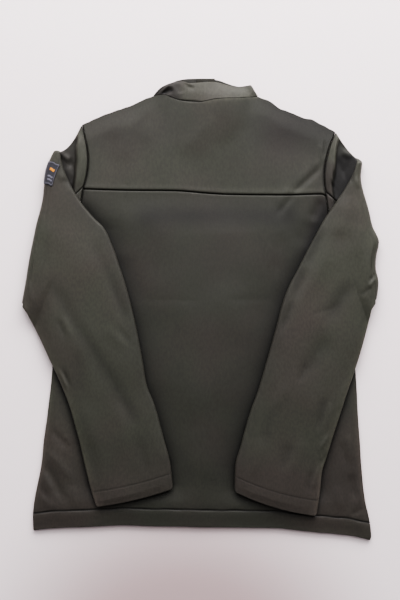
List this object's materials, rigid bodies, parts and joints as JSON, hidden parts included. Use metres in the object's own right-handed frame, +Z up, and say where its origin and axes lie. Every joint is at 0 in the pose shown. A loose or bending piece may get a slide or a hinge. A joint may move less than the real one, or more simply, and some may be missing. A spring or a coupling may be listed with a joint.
{
  "type": "softshell jacket",
  "caption": "Softshell jacket laid face down with its sleeves folded over the back, in separate cloth panels with a stand collar and a front zip.",
  "frame": {"origin": "middle of the laid jacket's box, on the surface that it lies on", "axes": "+Y from hem to collar, +X to the right seen from above, +Z up out of the back"},
  "size_m": [0.5886, 0.7624, 0.02],
  "materials": {
    "softshell": "matt dark olive woven face",
    "collar_cloth": "matt dark olive woven face, darker inside",
    "patch_weave": "dark slate twill with a grey edge",
    "zip_tape": "dark woven tape with moulded coil",
    "zip_metal": "satin dark enamel"
  },
  "bodies": {
    "jacket": {"back_body": "softshell", "back_yoke": "softshell", "front_left": "softshell", "front_right": "softshell", "collar": "collar_cloth", "sleeve_left_upper": "softshell", "sleeve_left_lower": "softshell", "sleeve_right_upper": "softshell", "sleeve_right_lower": "softshell", "sleeve_patch": "patch_weave", "front_zip": "zip_tape", "zip_slider": "zip_metal"},
    "zip_pull": {"zip_pull_tab": "zip_metal"}
  },
  "joints": [
    {"name": "pull_tab_hinge", "type": "hinge", "parent": "jacket", "child": "zip_pull", "pos_m": [0.00856, 0.37226, 0.00125], "axis": [1, 0, 0], "range_deg": [0, 150]}
  ]
}
